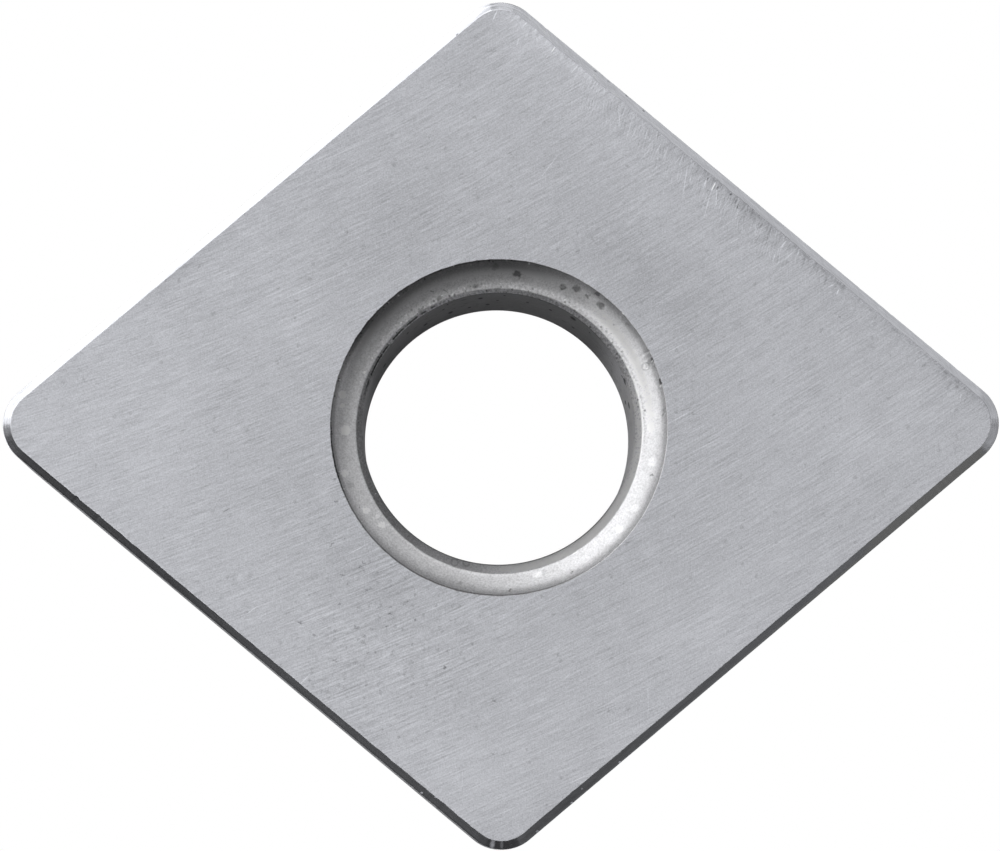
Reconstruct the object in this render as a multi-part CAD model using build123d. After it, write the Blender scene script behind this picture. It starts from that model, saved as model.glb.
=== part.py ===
from build123d import *
import os
from math import sin, cos, tan, radians

# ---------------------------------------------------------------------------
# Indexable turning insert: an 80 degree rhombic plate of sintered, ground
# tungsten carbide with a flat top, one plain hole through its middle and a
# narrow bevelled land along every cutting edge.  One solid.
#
# Frame: millimetres, +Z up out of the top (rake) face.  The origin is the
# centre of the bottom face, on the axis of the hole.  +X runs along the long
# diagonal, from the middle to one of the two 80 degree corners.
# ---------------------------------------------------------------------------

# plate
inscribed_circle = 12.70      # diameter of the circle that touches all four flanks
corner_angle = 80.0           # included angle of the two acute corners
thickness = 4.76              # bottom face to top face
nose_radius = 0.80            # all four corners

# land: the bevel that strengthens the cutting edge, on both faces
land_width = 0.15             # measured in the plane of the face
land_angle = 25.0             # below the plane of the face

# hole: a plain bore with a dished mouth at both faces
bore_d = 5.16                 # plain cylindrical part
mouth_d = 6.38                # where the dish meets the face, a sharp rim
dish_inner_d = 5.44           # inner edge of the dish
dish_slope_rim = 62.0         # slope of the dish's arc at the rim
dish_slope_inner = 12.0       # and at its inner edge, nearly flat
lip_slope = 55.0              # conical lip between the dish and the bore

# ---------------------------------------------------------------------------
# worked out from the above
# ---------------------------------------------------------------------------
flank = inscribed_circle / 2.0
land_drop = land_width * tan(radians(land_angle))

dish_radius = (mouth_d - dish_inner_d) / 2.0 / (
    sin(radians(dish_slope_rim)) - sin(radians(dish_slope_inner)))
dish_depth = dish_radius * (
    cos(radians(dish_slope_inner)) - cos(radians(dish_slope_rim)))
lip_drop = (dish_inner_d - bore_d) / 2.0 * tan(radians(lip_slope))
mouth_depth = dish_depth + lip_drop
bore_length = thickness - 2.0 * mouth_depth


def rhombus(apothem, radius, z):
    """Rounded rhombus whose four sides lie `apothem` from the hole's axis."""
    half_x = apothem / sin(radians(corner_angle / 2.0))
    half_y = apothem / cos(radians(corner_angle / 2.0))
    sharp = Polyline((half_x, 0, 0), (0, half_y, 0), (-half_x, 0, 0),
                     (0, -half_y, 0), (half_x, 0, 0))
    face = make_face(sharp)
    face = fillet(face.vertices(), radius)
    return Pos(0, 0, z) * face.face()


# The plate is a prism whose top and bottom edges are bevelled all round:
# land_width along the face, land_drop down the flank.  At the noses the
# bevel is part of a cone about the nose's own centre.
prism = extrude(rhombus(flank, nose_radius, 0.0), thickness, dir=(0, 0, 1))
prism = prism.solid()
plate = prism
for which in (-1, 0):
    face = plate.faces().sort_by(Axis.Z)[which]
    plate = chamfer(face.outer_wire().edges(), length=land_width,
                    length2=land_drop, reference=face)
    plate = plate.solid()


def dish_point(slope):
    """Point (r, depth) of the dish's arc where it has the given slope."""
    s = radians(slope)
    centre_r = mouth_d / 2.0 - dish_radius * sin(radians(dish_slope_rim))
    centre_z = dish_radius * cos(radians(dish_slope_rim))
    return centre_r + dish_radius * sin(s), dish_radius * cos(s) - centre_z


# Half section of the hole in the XZ plane, turned about the Z axis.
mid_slope = (dish_slope_rim + dish_slope_inner) / 2.0
r_mid, d_mid = dish_point(mid_slope)
rim_r, inner_r, bore_r = mouth_d / 2.0, dish_inner_d / 2.0, bore_d / 2.0
beyond = 1.0                  # the cutter runs this far past both faces

section = [
    Line((0, 0, -beyond), (rim_r, 0, -beyond)),
    Line((rim_r, 0, -beyond), (rim_r, 0, 0)),
    ThreePointArc((rim_r, 0, 0), (r_mid, 0, d_mid), (inner_r, 0, dish_depth)),
    Line((inner_r, 0, dish_depth), (bore_r, 0, mouth_depth)),
    Line((bore_r, 0, mouth_depth), (bore_r, 0, thickness - mouth_depth)),
    Line((bore_r, 0, thickness - mouth_depth),
         (inner_r, 0, thickness - dish_depth)),
    ThreePointArc((inner_r, 0, thickness - dish_depth),
                  (r_mid, 0, thickness - d_mid), (rim_r, 0, thickness)),
    Line((rim_r, 0, thickness), (rim_r, 0, thickness + beyond)),
    Line((rim_r, 0, thickness + beyond), (0, 0, thickness + beyond)),
    Line((0, 0, thickness + beyond), (0, 0, -beyond)),
]
hole = revolve(make_face(section), axis=Axis.Z, revolution_arc=360)

insert_body = plate - hole
insert_body = insert_body.solid()
insert_body.label = "insert_body"

os.makedirs("parts", exist_ok=True)
export_step(insert_body, "parts/insert_body.step")

box = insert_body.bounding_box()
print("size %.3f x %.3f x %.3f mm" % (box.size.X, box.size.Y, box.size.Z))
print("volume %.2f mm3, faces %d, valid %s" % (
    insert_body.volume, len(insert_body.faces()), insert_body.is_valid))
print("land drop %.4f, dish radius %.4f, dish depth %.4f, mouth depth %.4f, "
      "bore length %.4f mm" % (land_drop, dish_radius, dish_depth,
                               mouth_depth, bore_length))
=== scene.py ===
import math

import bpy
import numpy as np
from mathutils import Matrix


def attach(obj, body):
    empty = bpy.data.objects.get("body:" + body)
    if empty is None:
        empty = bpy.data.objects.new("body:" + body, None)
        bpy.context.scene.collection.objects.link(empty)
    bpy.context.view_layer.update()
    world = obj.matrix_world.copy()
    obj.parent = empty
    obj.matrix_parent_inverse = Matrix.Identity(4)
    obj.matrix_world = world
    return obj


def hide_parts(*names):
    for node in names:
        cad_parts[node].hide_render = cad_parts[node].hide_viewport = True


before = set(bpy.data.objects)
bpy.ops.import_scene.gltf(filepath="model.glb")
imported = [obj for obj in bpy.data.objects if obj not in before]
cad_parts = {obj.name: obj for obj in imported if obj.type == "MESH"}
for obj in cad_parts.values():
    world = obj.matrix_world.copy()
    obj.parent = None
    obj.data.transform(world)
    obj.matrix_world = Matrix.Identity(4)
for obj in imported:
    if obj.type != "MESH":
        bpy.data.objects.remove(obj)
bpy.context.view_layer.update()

MM = 0.001
rad = math.radians

# ---------------------------------------------------------------------------
# sizes of the insert, millimetres, as the CAD has them
# ---------------------------------------------------------------------------
T = 4.76                      # thickness
APOTHEM = 6.35                # half of the inscribed circle
NOSE = 0.80                   # nose radius
LAND_ANGLE = rad(25.0)
MOUTH_R, DISH_R, BORE_R = 3.19, 2.72, 2.58
SLOPE_RIM, SLOPE_IN = rad(62.0), rad(12.0)
ARC_R = (MOUTH_R - DISH_R) / (math.sin(SLOPE_RIM) - math.sin(SLOPE_IN))
DISH_DEPTH = ARC_R * (math.cos(SLOPE_IN) - math.cos(SLOPE_RIM))
MOUTH_DEPTH = DISH_DEPTH + 0.14 * math.tan(rad(55.0))

# the hole of a sintered blank is never quite in the middle of the ground shape
RIM_OFF = np.array([-0.041, -0.066])
DISH_OFF = np.array([-0.036, -0.118])
BORE_OFF = np.array([-0.052, -0.056])

rng = np.random.RandomState(80412)


# ---------------------------------------------------------------------------
# outline: points and outward normals by distance along the outer wall
# ---------------------------------------------------------------------------
CX = (APOTHEM - NOSE) / math.sin(rad(40.0))
CY = (APOTHEM - NOSE) / math.cos(rad(40.0))
NOSES = [((CX, 0.0), -50.0, 50.0), ((0.0, CY), 50.0, 130.0),
         ((-CX, 0.0), 130.0, 230.0), ((0.0, -CY), 230.0, 310.0)]


def outline(count):
    """count points evenly spaced from the right nose's tip, anticlockwise."""
    runs = []
    for k in range(4):
        (cx, cy), a0, a1 = NOSES[k]
        (nx, ny), b0, _ = NOSES[(k + 1) % 4]
        runs.append(("arc", cx, cy, 0.0 if k == 0 else a0, a1))
        a = rad(a1)
        runs.append(("line", cx + NOSE * math.cos(a), cy + NOSE * math.sin(a),
                     nx + NOSE * math.cos(a), ny + NOSE * math.sin(a), a))
    runs.append(("arc", CX, 0.0, -50.0, 0.0))
    lengths = [NOSE * rad(r[4] - r[3]) if r[0] == "arc"
               else math.hypot(r[3] - r[1], r[4] - r[2]) for r in runs]
    total = sum(lengths)
    ends = np.cumsum(lengths)
    s = np.arange(count) * total / count
    P, Nn = np.zeros((count, 2)), np.zeros((count, 2))
    for i, si in enumerate(s):
        k = int(np.searchsorted(ends, si, side="right"))
        k = min(k, len(runs) - 1)
        f = (si - (ends[k] - lengths[k])) / lengths[k]
        r = runs[k]
        if r[0] == "arc":
            a = rad(r[3] + (r[4] - r[3]) * f)
            Nn[i] = math.cos(a), math.sin(a)
            P[i] = r[1] + NOSE * Nn[i, 0], r[2] + NOSE * Nn[i, 1]
        else:
            Nn[i] = math.cos(r[5]), math.sin(r[5])
            P[i] = r[1] + (r[3] - r[1]) * f, r[2] + (r[4] - r[2]) * f
    return P, Nn, s, total


NTOP = 2048
OUT, NRM, S, TOTAL = outline(NTOP)
HOLE_ANGLE = np.unwrap(np.arctan2(OUT[:, 1] - RIM_OFF[1], OUT[:, 0] - RIM_OFF[0]))
QUARTER = TOTAL / 4.0


def waves(x, period, low, high, count, seed, power=0.0):
    """Smooth periodic noise of about unit size: random waves low..high per mm."""
    r = np.random.RandomState(seed)
    y = np.zeros_like(x)
    weight = 0.0
    for _ in range(count):
        m = max(1, int(round(period * math.exp(r.uniform(math.log(low), math.log(high))))))
        a = (m / period) ** -power
        y += a * np.cos(2 * math.pi * m * x / period + r.uniform(0, 2 * math.pi))
        weight += a * a / 2
    return y / math.sqrt(weight)


def around(values):
    """Piecewise smooth function of S from (fraction of the outline, value) pairs."""
    f = np.array([v[0] for v in values])
    g = np.array([v[1] for v in values])
    f = np.concatenate([f - 1, f, f + 1])
    g = np.tile(g, 3)
    y = np.interp(S / TOTAL, f, g)
    k = np.hanning(61)
    k /= k.sum()
    return np.convolve(np.concatenate([y, y, y]), k, "same")[NTOP:2 * NTOP]


def bump_at(s0, half):
    d = np.abs((S - s0 + TOTAL / 2) % TOTAL - TOTAL / 2)
    return np.clip(1 - (d / half) ** 2, 0, None)


# width of the land by side: right nose, upper right, top nose, upper left,
# left nose, lower left, bottom nose, lower right
LAND_W = around([(0.0, 0.158), (0.03, 0.150), (0.12, 0.155), (0.22, 0.168),
                 (0.25, 0.160), (0.28, 0.155), (0.47, 0.155), (0.50, 0.158),
                 (0.53, 0.145), (0.70, 0.146), (0.73, 0.155), (0.75, 0.165),
                 (0.78, 0.170), (0.84, 0.154), (0.91, 0.152), (0.97, 0.166)])
ROUGH = around([(0.0, 0.5), (0.03, 1.0), (0.22, 3.0), (0.245, 1.2), (0.26, 0.5),
                (0.47, 0.5), (0.53, 0.9), (0.72, 1.0), (0.78, 0.8), (0.97, 0.8)])
LAND_W = LAND_W + 0.0022 * ROUGH * waves(S, TOTAL, 0.8, 12.0, 60, 11, 0.5)
EDGE_IN = 0.0010 * (1 + waves(S, TOTAL, 1.0, 10.0, 50, 12, 0.4))   # outer edge wear
EDGE_IN = np.clip(EDGE_IN, 0, None)

# small nicks: (place along the outline mm, half width mm, depth mm)
INNER_NICKS = [(27.117, 0.05, 0.018), (27.654, 0.045, 0.014)]
OUTER_NICKS = [(35.476, 0.05, 0.010), (47.816, 0.05, 0.010), (13.723, 0.04, 0.014),
               (14.184, 0.05, 0.014)]
for s0, half, deep in INNER_NICKS:
    LAND_W = LAND_W + deep * bump_at(s0, half)
for s0, half, deep in OUTER_NICKS:
    EDGE_IN = EDGE_IN + deep * bump_at(s0, half)
r2 = np.random.RandomState(77)
for _ in range(90):                      # finer ones all round the edges
    s0, big = r2.uniform(0, TOTAL), r2.uniform(0.2, 1.0) ** 2
    target = r2.randint(0, 3)
    if target == 0:
        EDGE_IN = EDGE_IN + 0.008 * big * bump_at(s0, 0.03 + 0.02 * big)
    else:
        LAND_W = LAND_W + 0.006 * big * bump_at(s0, 0.03 + 0.02 * big)


# ---------------------------------------------------------------------------
# rings, each a closed loop of points; bands of faces join one to the next
# ---------------------------------------------------------------------------
rings = []          # (points (n,3), along (n+1), v, name of band that starts here)
RINGS_V = [0.0]


def pick(a, n):
    return a[:: NTOP // n]


def add(P, band):
    n = len(P)
    rings.append((P, n, band))


def edge_ring(n, d, z, band):
    """Points d inside the outer wall (may vary along it), at height z."""
    d = np.broadcast_to(np.asarray(d, float), (NTOP,))
    z = np.broadcast_to(np.asarray(z, float), (NTOP,))
    P = np.zeros((NTOP, 3))
    P[:, :2] = OUT - NRM * d[:, None]
    P[:, 2] = z
    add(pick(P, n), band)


def fillet(n_in, n_out, corner, radius, steps):
    """Arc between two lines in (d, z) that meet at corner. n_in and n_out are unit
    directions of travel before and after it; corner holds arrays."""
    turn = math.acos(max(-1, min(1, n_in[0] * n_out[0] + n_in[1] * n_out[1])))
    tl = radius * math.tan(turn / 2)
    start = (corner[0] - tl * n_in[0], corner[1] - tl * n_in[1])
    side = 1.0 if n_in[0] * n_out[1] - n_in[1] * n_out[0] > 0 else -1.0
    nx, nz = -n_in[1] * side, n_in[0] * side
    centre = (start[0] + radius * nx, start[1] + radius * nz)
    pts = []
    for k in range(steps + 1):
        a = side * turn * k / steps
        c, s = math.cos(a), math.sin(a)
        rx, rz = -nx * radius, -nz * radius
        pts.append((centre[0] + rx * c - rz * s, centre[1] + rx * s + rz * c))
    return pts, tl


# --- flank, upwards ---------------------------------------------------------
CL, SL = math.cos(LAND_ANGLE), math.sin(LAND_ANGLE)
DROP = LAND_W * math.tan(LAND_ANGLE)
EDGE_Z = T - DROP + EDGE_IN * math.tan(LAND_ANGLE)
B_LAND = 0.15
B_DROP = B_LAND * math.tan(LAND_ANGLE)

for z in (0.5, 1.2, 2.2, 3.3):
    edge_ring(512, 0.0, z, "flank")
edge_ring(1024, 0.0, 4.0, "flank")
edge_ring(2048, 0.0, T - 0.33, "flank")
edge_ring(2048, EDGE_IN * 0.15, EDGE_Z - 0.10, "flank")
edge_ring(2048, EDGE_IN * 0.75, EDGE_Z - 0.035, "flank")
arc, tl = fillet((0, 1), (CL, SL), (EDGE_IN, EDGE_Z), 0.011, 3)
for k, (d, z) in enumerate(arc):
    edge_ring(2048, d, z, "hone" if k < len(arc) - 1 else "land")
# --- land -------------------------------------------------------------------
edge_ring(2048, EDGE_IN + (tl + 0.012) * CL, EDGE_Z + (tl + 0.012) * SL, "land")
edge_ring(2048, LAND_W - 0.018 * CL, T - 0.018 * SL, "land")
arc, tl = fillet((CL, SL), (1, 0), (LAND_W, T + 0 * S), 0.030, 3)
for k, (d, z) in enumerate(arc):
    edge_ring(2048, d, z, "edge" if k < len(arc) - 1 else "top")
# --- top face ---------------------------------------------------------------
edge_ring(2048, LAND_W + 0.025, T, "top")
edge_ring(2048, LAND_W * 0.6 + 0.12, T, "top")
edge_ring(1024, 0.36, T, "top")
edge_ring(1024, 0.74, T, "top")


def circle(n, r, z, off, band):
    """r and z may vary with the angle."""
    r = np.broadcast_to(np.asarray(r, float), (NTOP,))
    z = np.broadcast_to(np.asarray(z, float), (NTOP,))
    P = np.zeros((NTOP, 3))
    P[:, 0] = off[0] + r * np.cos(HOLE_ANGLE)
    P[:, 1] = off[1] + r * np.sin(HOLE_ANGLE)
    P[:, 2] = z
    add(pick(P, n), band)


def between(n, t, z, d_out, r_in, off, band):
    P = np.zeros((NTOP, 3))
    a = OUT - NRM * d_out
    b = np.stack([off[0] + r_in * np.cos(HOLE_ANGLE),
                  off[1] + r_in * np.sin(HOLE_ANGLE)], 1)
    P[:, :2] = a + (b - a) * t
    P[:, 2] = z
    add(pick(P, n), band)


for t in (0.12, 0.25, 0.38, 0.5, 0.62, 0.74, 0.85, 0.94):
    between(512, t, T, 0.74, MOUTH_R + 0.16, RIM_OFF, "top")
circle(1024, MOUTH_R + 0.16, T, RIM_OFF, "top")
circle(1024, MOUTH_R + 0.05, T, RIM_OFF, "top")

# --- mouth of the hole ------------------------------------------------------
turns = (HOLE_ANGLE - HOLE_ANGLE[0])
CIRC = 2 * math.pi
rim_noise = 0.0016 * waves(turns, CIRC, 3.0, 60.0, 60, 21, 0.3)
chips = np.zeros(NTOP)
rc = np.random.RandomState(5)
for _ in range(90):                      # tiny chips, most of them at the upper left
    a = rad(rc.normal(150, 28)) if rc.uniform() < 0.6 else rc.uniform(0, CIRC)
    size = rc.uniform(0.25, 1.0)
    d = np.abs((turns + HOLE_ANGLE[0] - a + math.pi) % CIRC - math.pi)
    chips = np.maximum(chips, 0.007 * size ** 2 * np.clip(1 - (d / (0.005 + 0.005 * size)) ** 2, 0, None))
for a, size in ((27.0, 0.016), (15.0, 0.016), (43.0, 0.010), (25.0, 0.010)):
    d = np.abs((turns + HOLE_ANGLE[0] - rad(a) + math.pi) % CIRC - math.pi)
    chips = np.maximum(chips, size * np.clip(1 - (d / 0.010) ** 2, 0, None))
rim = MOUTH_R + rim_noise + chips
arc, tl = fillet((1, 0), (math.cos(SLOPE_RIM), -math.sin(SLOPE_RIM)), (0.0, 0.0), 0.012, 3)
circle(2048, rim + tl + 0.012, T, RIM_OFF, "top")
for k, (d, z) in enumerate(arc):
    circle(2048, rim - d, T + z, RIM_OFF, "rim" if k < len(arc) - 1 else "dish")
arc_c = MOUTH_R - ARC_R * math.sin(SLOPE_RIM)
arc_z = ARC_R * math.cos(SLOPE_RIM)
STEPS = 10
last_off = RIM_OFF
for k in range(1, STEPS):
    f = k / STEPS
    slope = SLOPE_RIM + (SLOPE_IN - SLOPE_RIM) * f
    r = arc_c + ARC_R * math.sin(slope)
    z = T - (ARC_R * math.cos(slope) - arc_z)
    relief = 0.0011 * waves(turns, CIRC, 1.0, 14.0, 30, 40 + k // 3, 0.5) * math.sin(math.pi * f)
    circle(1024, r + (rim - MOUTH_R) * (1 - f) ** 3, z + relief, RIM_OFF + (DISH_OFF - RIM_OFF) * f * f, "dish")
# dish edge, lip and top of the bore, each ring its own centre
edge_wear = 0.0022 * waves(turns, CIRC, 3.0, 40.0, 50, 51, 0.4)
a0 = math.radians(12.0)
lip_rows = [(0.00, 0.000), (0.35, 0.010), (0.75, 0.032), (1.0, 0.055)]
lip_w = np.hypot(*(
    (DISH_OFF[:, None] + DISH_R * np.stack([np.cos(HOLE_ANGLE), np.sin(HOLE_ANGLE)]))
    - (BORE_OFF[:, None] + BORE_R * np.stack([np.cos(HOLE_ANGLE), np.sin(HOLE_ANGLE)]))))


# the lip is a cone of one slope, so where it meets the off-centre bore goes up and down
LIP_DROP = lip_w * math.tan(rad(54.0))


def lip(n, f, drop, band, wear=0.0):
    """Between the dish's inner edge (f 0) and the bore's edge (f 1). drop is a share
    of the lip's height, or an array of depths below the top face."""
    u = np.stack([np.cos(HOLE_ANGLE), np.sin(HOLE_ANGLE)], 1)
    a = DISH_OFF + (DISH_R + wear)[:, None] * u if np.ndim(wear) else DISH_OFF + DISH_R * u
    b = BORE_OFF + BORE_R * u
    P = np.zeros((NTOP, 3))
    P[:, :2] = a + (b - a) * f
    P[:, 2] = T - (drop if np.ndim(drop) else DISH_DEPTH + LIP_DROP * drop)
    add(pick(P, n), band)


lip(1024, -0.10, -0.015, "dish", edge_wear)
lip(1024, 0.0, 0.012, "lip", edge_wear)
lip(1024, 0.07, 0.065, "lip", edge_wear)
lip(1024, 0.20, 0.20, "lip", edge_wear * 0.5)
lip(1024, 0.50, 0.50, "lip")
lip(1024, 0.80, 0.80, "lip")
lip(1024, 0.90, 0.925, "bore")
lip(1024, 0.96, 1.04, "bore")
lip(1024, 0.99, 1.12, "bore")
LIP_END = DISH_DEPTH + 1.25 * LIP_DROP
lip(1024, 1.0, LIP_END, "bore")
# --- bore, downwards --------------------------------------------------------
lip(1024, 1.0, LIP_END + 0.10, "bore")
lip(1024, 1.0, LIP_END * 0.3 + 0.95, "bore")
for depth in (2.0, 3.0, 3.8):
    lip(512, 1.0, depth + 0 * S, "bore")
lip(512, 1.0, T - MOUTH_DEPTH - 0.015 + 0 * S, "bore")
# --- bottom mouth -----------------------------------------------------------
circle(512, BORE_R + 0.010, MOUTH_DEPTH - 0.012, BORE_OFF, "lip_b")
circle(512, DISH_R - 0.012, DISH_DEPTH + 0.016, BORE_OFF, "lip_b")
circle(512, DISH_R, DISH_DEPTH, BORE_OFF, "dish_b")
for k in range(1, 8):
    f = k / 8
    slope = SLOPE_IN + (SLOPE_RIM - SLOPE_IN) * f
    r = arc_c + ARC_R * math.sin(slope)
    z = ARC_R * math.cos(slope) - arc_z
    circle(512, r, z, BORE_OFF, "dish_b")
circle(512, MOUTH_R - 0.005, 0.009, BORE_OFF, "dish_b")
circle(512, MOUTH_R + 0.000, 0.003, BORE_OFF, "dish_b")
circle(512, MOUTH_R + 0.009, 0.0, BORE_OFF, "bottom")
circle(512, MOUTH_R + 0.04, 0.0, BORE_OFF, "bottom")
# --- bottom face and its land -----------------------------------------------
for t in (0.9, 0.75, 0.6, 0.45, 0.3, 0.15):
    between(512, t, 0.0, 0.74, MOUTH_R + 0.16, BORE_OFF, "bottom")
edge_ring(512, 0.74, 0.0, "bottom")
edge_ring(512, 0.36, 0.0, "bottom")
edge_ring(512, B_LAND + 0.03, 0.0, "bottom")
arc, tl = fillet((-1, 0), (-CL, SL), (B_LAND, 0.0), 0.030, 3)
for k, (d, z) in enumerate(arc):
    edge_ring(512, d, z, "edge_b" if k < len(arc) - 1 else "land_b")
arc, tl = fillet((-CL, SL), (0, 1), (0.0, B_DROP), 0.011, 3)
edge_ring(512, (tl + 0.012) * CL, B_DROP - (tl + 0.012) * SL, "land_b")
for k, (d, z) in enumerate(arc):
    edge_ring(512, d, z, "hone_b" if k < len(arc) - 1 else "flank")
edge_ring(512, 0.0, B_DROP + 0.04, "flank")
edge_ring(512, 0.0, 0.25, "flank")

# ---------------------------------------------------------------------------
# faces, maps and slots
# ---------------------------------------------------------------------------
SLOT_OF = {"flank": 2, "hone": 1, "land": 1, "edge": 0, "top": 0, "rim": 3,
           "dish": 3, "lip": 3, "bore": 5, "lip_b": 3, "dish_b": 3,
           "bottom": 4, "edge_b": 1, "land_b": 1, "hone_b": 1}

verts = np.concatenate([r[0] for r in rings])
start = np.cumsum([0] + [r[1] for r in rings])[:-1]
nr = len(rings)

# grinding lines on the faces are arcs of a big cup wheel
WHEEL_C = np.array([-26.0, 53.0])
WHEEL_B = np.array([-37.6, 93.5])


def flow_top(xy):
    d = xy - WHEEL_C
    r = np.hypot(d[:, 0], d[:, 1])
    a = np.arctan2(d[:, 1], d[:, 0])
    r0 = math.hypot(*WHEEL_C)
    a0 = math.atan2(-WHEEL_C[1], -WHEEL_C[0])
    return np.stack([(a - a0) * r0, -(r - r0)], 1)


def flow_bottom(xy):
    d = xy * [1, -1] - WHEEL_B
    r = np.hypot(d[:, 0], d[:, 1])
    a = np.arctan2(d[:, 1], d[:, 0])
    return np.stack([(a + 1.0) * 95.0, r - 97.0], 1)


loops, sizes, slots = [], [], []
flow_uv, plan_uv, bake_uv = [], [], []
PX = 1024.0
TOP_S, BOT_S, FL_S, BORE_S = 53.0, 18.0, 25.0, 22.0
TOP_CY = 1024 - 4 - 8.045 * TOP_S


def place(band, P, along, v, sector, side_s):
    """The three maps of a face's corners. P (k,3); along (k,) mm along the ring."""
    xy = P[:, :2]
    if band in ("top", "edge"):
        flow = flow_top(xy)
    elif band == "bottom":
        flow = flow_bottom(xy)
    else:
        flow = np.stack([along, v], 1)
    if band in ("top", "edge", "land", "rim", "dish", "lip"):
        bake = np.stack([512 + xy[:, 0] * TOP_S, TOP_CY + xy[:, 1] * TOP_S], 1)
    elif band in ("bottom", "edge_b", "land_b", "dish_b", "lip_b"):
        bake = np.stack([6 + 9.44 * BOT_S + xy[:, 0] * BOT_S,
                         6 + 8.05 * BOT_S - xy[:, 1] * BOT_S], 1)
    elif band == "bore":
        bake = np.stack([352 + along * BORE_S, 6 + (v - 0.0) * BORE_S], 1)
    else:
        ax = (side_s * FL_S)
        az = v * FL_S
        ox, oy = [(4, 1020 - 122), (1020 - 316, 1020 - 122), (1020 - 316, 6), (1020 - 316, 130)][sector]
        bake = np.stack([ox + ax, oy + az], 1)
    return flow, xy.copy(), bake / PX


def profile_lengths():
    """Distance along the section from ring to ring, at the seam's column."""
    mid = [r[0][0] for r in rings]
    return [float(np.linalg.norm(mid[(k + 1) % nr] - mid[k])) for k in range(nr)]


PROF = profile_lengths()
vcum = np.concatenate([[0], np.cumsum(PROF)])
# the flank's rings go round the end of the list: its v runs on from the bottom land
first_hone_b = min(k for k in range(nr) if rings[k][2] == "hone_b")
last_flank_top = max(k for k in range(nr - 20) if rings[k][2] in ("flank", "hone"))


def v_of(k, band):
    """Across coordinate of ring k for that band, mm."""
    if band in ("flank", "hone", "hone_b"):
        base = vcum[first_hone_b] - vcum[nr]
        return (vcum[k] if k < nr // 2 else vcum[k] - vcum[nr]) - base
    return vcum[k]


bore_first = min(k for k in range(nr) if rings[k][2] == "bore")


def column_along(n, band):
    """Distance along the ring for columns 0..n (the last closes the loop)."""
    if band in ("rim", "dish", "lip", "bore", "lip_b", "dish_b"):
        a = np.concatenate([pick(HOLE_ANGLE, n), [HOLE_ANGLE[0] + CIRC]]) - HOLE_ANGLE[0]
        return a * (2.58 if band == "bore" else 2.9)
    return np.concatenate([pick(S, n), [TOTAL]])


for k in range(nr):
    ka, kb = k, (k + 1) % nr
    Pa, na, band = rings[ka]
    Pb, nb, _ = rings[kb]
    va, vb = v_of(ka, band), v_of(ka + 1, band)
    if band == "bore":
        va, vb = va - vcum[bore_first], vb - vcum[bore_first]
    aa, ab = column_along(na, band), column_along(nb, band)
    sa, sb = start[ka], start[kb]
    big = max(na, nb)
    small = min(na, nb)
    corners = []
    if na == nb:
        for j in range(na):
            corners.append((("a", j), ("a", j + 1), ("b", j + 1), ("b", j)))
    elif na > nb:
        for j in range(nb):
            corners += [(("a", 2 * j), ("a", 2 * j + 1), ("b", j)),
                        (("a", 2 * j + 1), ("b", j + 1), ("b", j)),
                        (("a", 2 * j + 1), ("a", 2 * j + 2), ("b", j + 1))]
    else:
        for j in range(na):
            corners += [(("a", j), ("a", j + 1), ("b", 2 * j + 1)),
                        (("a", j), ("b", 2 * j + 1), ("b", 2 * j)),
                        (("a", j + 1), ("b", 2 * j + 2), ("b", 2 * j + 1))]
    side = np.array([[0 if c[0] == "a" else 1 for c in f] for f in corners])
    col = np.array([[c[1] for c in f] for f in corners])
    ia = sa + col % na
    ib = sb + col % nb
    idx = np.where(side == 0, ia, ib)
    al = np.where(side == 0, aa[np.minimum(col, na)], ab[np.minimum(col, nb)])
    vv = np.where(side == 0, va, vb)
    # sector of the flank: decided by the middle of the face
    share = np.where(side == 0, col / na, col / nb)
    sector = np.minimum((share.mean(1) * 4).astype(int), 3)
    m, kk = idx.shape
    P = verts[idx.ravel()]
    along = al.ravel()
    v = vv.ravel()
    flow, plan, bake = np.zeros((m * kk, 2)), np.zeros((m * kk, 2)), np.zeros((m * kk, 2))
    sec = np.repeat(sector, kk)
    for q in range(4):
        w = sec == q
        if w.any():
            f, p, b = place(band, P[w], along[w], v[w], q, along[w] - q * QUARTER)
            flow[w], plan[w], bake[w] = f, p, b
    loops.append(idx.ravel())
    sizes += [kk] * m
    if band in ("top", "edge"):
        mid = P.reshape(m, kk, 3)[:, :, :2].mean(1)
        strip = mid @ [math.cos(rad(50)), math.sin(rad(50))] > APOTHEM - 1.05
        pitted = np.hypot(mid[:, 0] + 2.4, mid[:, 1] + 3.6) < 3.9
        slots += list(np.where(strip, 7, np.where(pitted, 6, 0)))
    else:
        slots += [SLOT_OF[band]] * m
    flow_uv.append(flow)
    plan_uv.append(plan)
    bake_uv.append(bake)

loops = np.concatenate(loops)
mesh = bpy.data.meshes.new("insert_ground")
mesh.vertices.add(len(verts))
mesh.vertices.foreach_set("co", (verts * MM).astype(np.float32).ravel())
mesh.loops.add(len(loops))
mesh.loops.foreach_set("vertex_index", loops.astype(np.int32))
sizes = np.array(sizes, np.int32)
mesh.polygons.add(len(sizes))
mesh.polygons.foreach_set("loop_start", np.concatenate([[0], np.cumsum(sizes)[:-1]]).astype(np.int32))
mesh.polygons.foreach_set("loop_total", sizes)
mesh.polygons.foreach_set("material_index", np.array(slots, np.int32))
mesh.polygons.foreach_set("use_smooth", np.ones(len(sizes), bool))
mesh.update(calc_edges=True)
for name, uv in (("OFBake", bake_uv), ("Flow", flow_uv), ("Plan", plan_uv)):
    layer = mesh.uv_layers.new(name=name)
    layer.data.foreach_set("uv", np.concatenate(uv).astype(np.float32).ravel())
mesh.validate()
body = bpy.data.objects.new("ground_insert", mesh)
bpy.context.scene.collection.objects.link(body)
print("insert: %d points, %d triangles, seam %.3f mm" % (
    len(verts), int((sizes - 2).sum()), TOTAL))


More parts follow.
